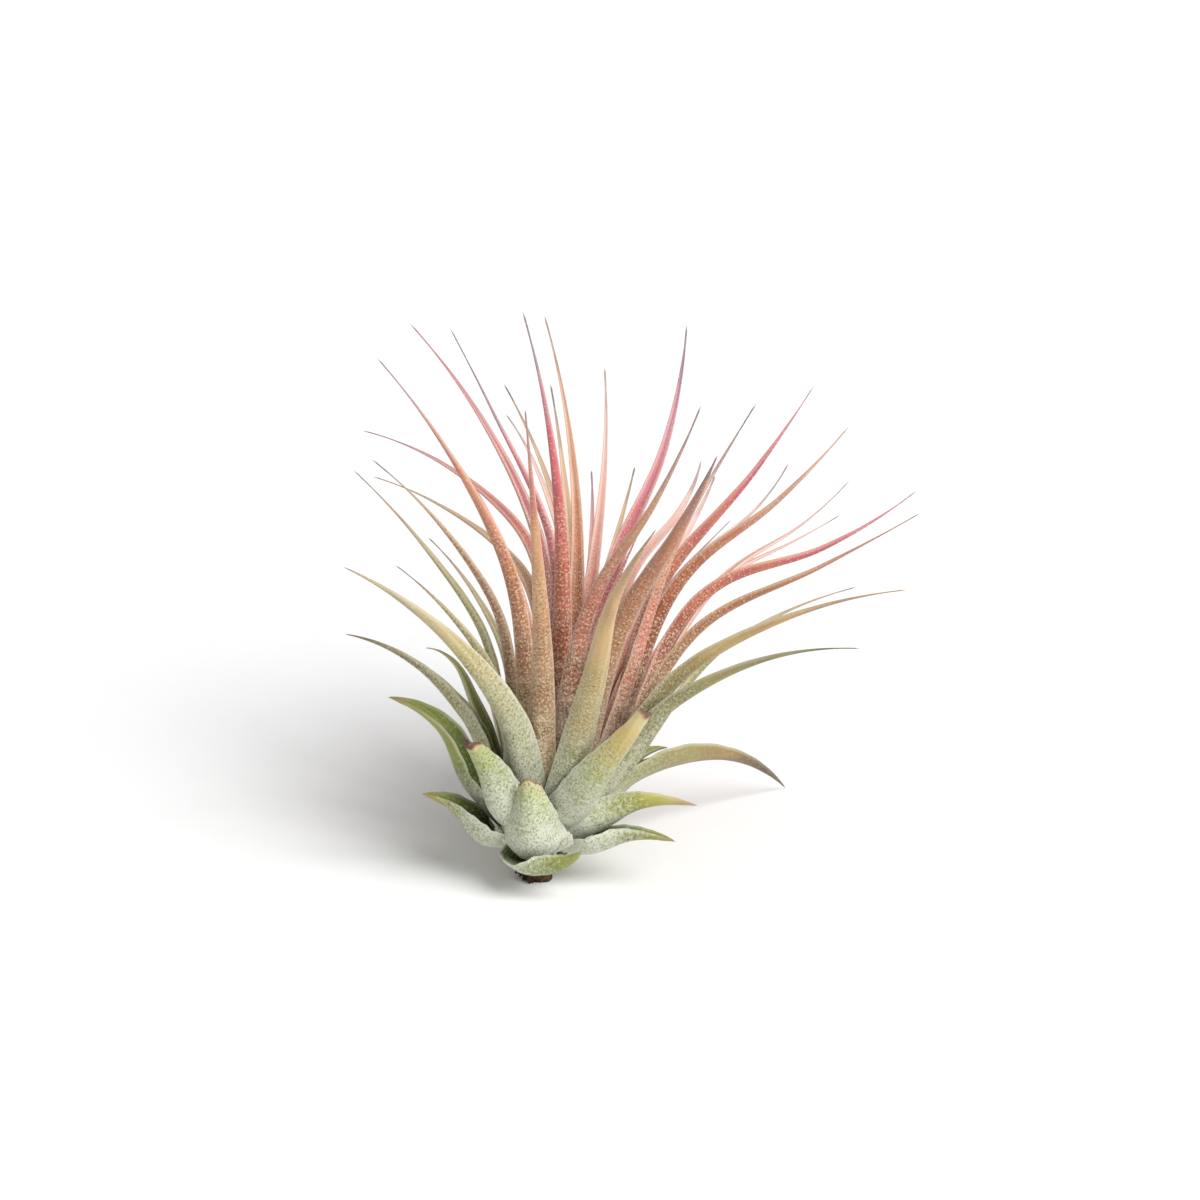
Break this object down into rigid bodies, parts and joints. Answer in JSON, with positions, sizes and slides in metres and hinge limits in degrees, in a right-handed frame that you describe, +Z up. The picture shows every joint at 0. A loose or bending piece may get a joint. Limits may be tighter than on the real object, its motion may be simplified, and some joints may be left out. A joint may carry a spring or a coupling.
{
  "type": "sky plant",
  "caption": "Air plant without a pot: a leaning rosette of narrow channelled leaves, rosy inside and grey-green outside, on a short dead root stub.",
  "frame": {"origin": "middle of the small flat spot under the root stub, on the surface that the plant stands on", "axes": "+Z up, -Y towards the face of the plant that the leaves lean away from, +X to the right of someone looking at that face"},
  "size_m": [0.0977, 0.1125, 0.0967],
  "materials": {
    "rose leaf": "matt, with a fine silvery scurf",
    "coral leaf": "matt, with a fine silvery scurf",
    "blush leaf": "matt, with a fine silvery scurf",
    "tan leaf": "matt, with a fine silvery scurf",
    "brown leaf": "matt, with a fine silvery scurf",
    "straw leaf": "matt, with a fine silvery scurf",
    "olive leaf": "matt, with a fine silvery scurf",
    "green leaf": "matt, with a fine silvery scurf",
    "scurfy leaf": "matt, with a fine silvery scurf",
    "stem": "matt, with a fine silvery scurf",
    "dead root": "rough, fibrous"
  },
  "bodies": {
    "root": {"root_stub": "dead root", "stem": "stem", "heart_leaf_1": "tan leaf", "heart_leaf_2": "tan leaf", "heart_leaf_3": "coral leaf", "heart_leaf_4": "rose leaf", "heart_leaf_5": "rose leaf", "heart_leaf_6": "coral leaf", "heart_leaf_7": "rose leaf", "back_leaf_1": "blush leaf", "back_leaf_2": "blush leaf", "back_leaf_3": "blush leaf", "back_leaf_4": "blush leaf", "back_leaf_5": "tan leaf", "back_leaf_6": "tan leaf", "left_leaf_1": "tan leaf", "left_leaf_2": "blush leaf", "left_leaf_3": "olive leaf", "left_leaf_4": "tan leaf", "left_leaf_5": "olive leaf", "left_leaf_6": "olive leaf", "left_leaf_7": "olive leaf", "right_leaf_1": "tan leaf", "right_leaf_2": "tan leaf", "right_leaf_3": "rose leaf", "right_leaf_4": "brown leaf", "right_leaf_5": "blush leaf", "right_leaf_6": "blush leaf", "right_leaf_7": "tan leaf", "right_leaf_8": "blush leaf", "right_leaf_9": "coral leaf", "right_leaf_10": "blush leaf", "right_leaf_11": "rose leaf", "right_leaf_12": "blush leaf", "right_leaf_13": "tan leaf", "right_leaf_14": "coral leaf", "right_leaf_15": "tan leaf", "right_leaf_16": "olive leaf", "front_leaf_1": "tan leaf", "front_leaf_2": "olive leaf", "front_leaf_3": "straw leaf", "front_leaf_4": "green leaf", "front_leaf_5": "scurfy leaf", "front_leaf_6": "scurfy leaf", "side_leaf_1": "olive leaf", "side_leaf_2": "straw leaf", "side_leaf_3": "green leaf", "side_leaf_4": "green leaf", "side_leaf_5": "olive leaf", "foot_leaf_1": "green leaf", "foot_leaf_2": "green leaf", "foot_leaf_3": "green leaf", "foot_leaf_4": "green leaf", "rear_leaf_1": "scurfy leaf", "rear_leaf_2": "scurfy leaf", "rear_leaf_3": "scurfy leaf", "rear_leaf_4": "scurfy leaf", "rear_leaf_5": "olive leaf", "rear_leaf_6": "olive leaf", "rear_leaf_7": "olive leaf"}
  },
  "joints": []
}
